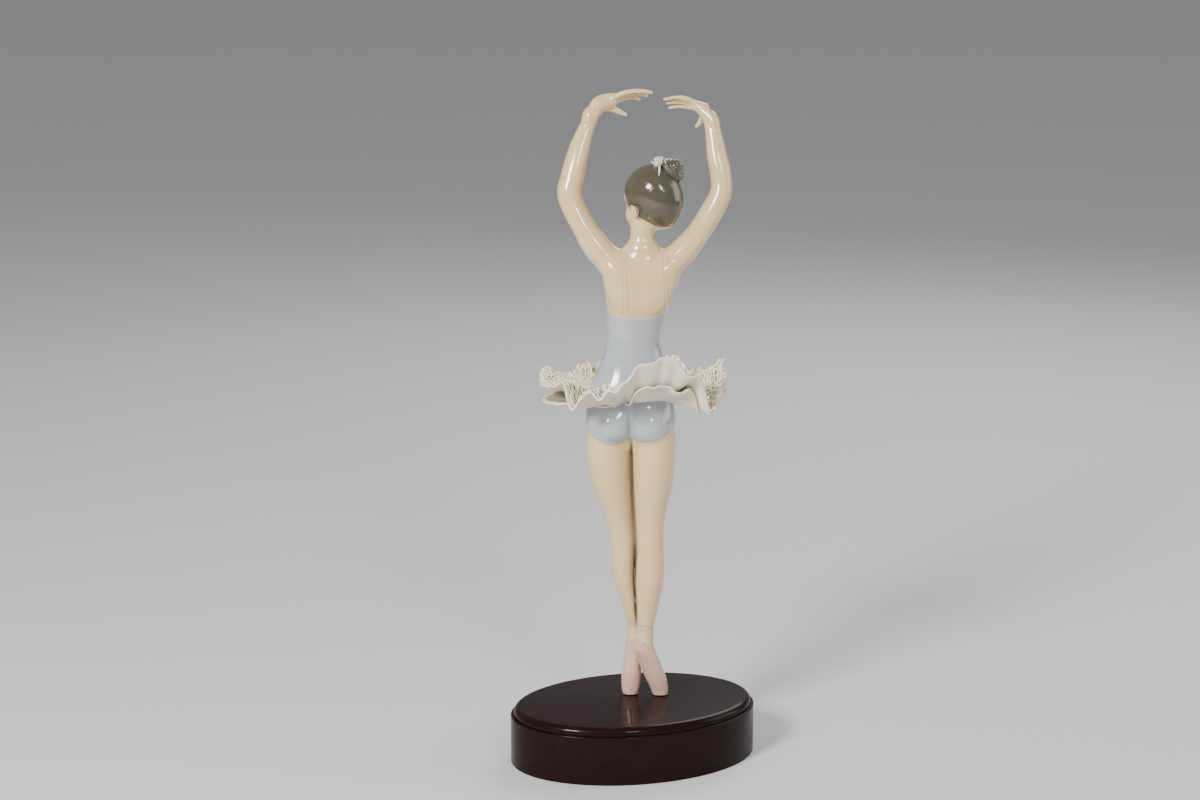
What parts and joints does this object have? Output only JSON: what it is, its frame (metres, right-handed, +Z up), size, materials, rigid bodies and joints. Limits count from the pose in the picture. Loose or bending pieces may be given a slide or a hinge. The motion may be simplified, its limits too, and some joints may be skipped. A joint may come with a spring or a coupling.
{
  "type": "ballerina figurine",
  "caption": "Glazed porcelain dancer in a ruffled skirt, on her toes with both arms raised in a ring, standing on an oval lacquered wooden plinth.",
  "frame": {"origin": "centre of the plinth's flat underside", "axes": "+Z up, X along the plinth's length, the plinth's front faces -Y; the dancer stands turned about 18 degrees from it, her back towards +Y and a little to +X"},
  "size_m": [0.178, 0.1361, 0.4717],
  "materials": {
    "glazed_porcelain": "glossy clear glaze over warm cream, pale blue-grey and taupe",
    "bisque_porcelain": "unglazed matt off-white porcelain ruffles and lace",
    "lacquered_wood": "very dark red-brown wood under gloss lacquer"
  },
  "bodies": {
    "root": {"ballerina": "glazed_porcelain", "plinth": "lacquered_wood"}
  },
  "joints": []
}
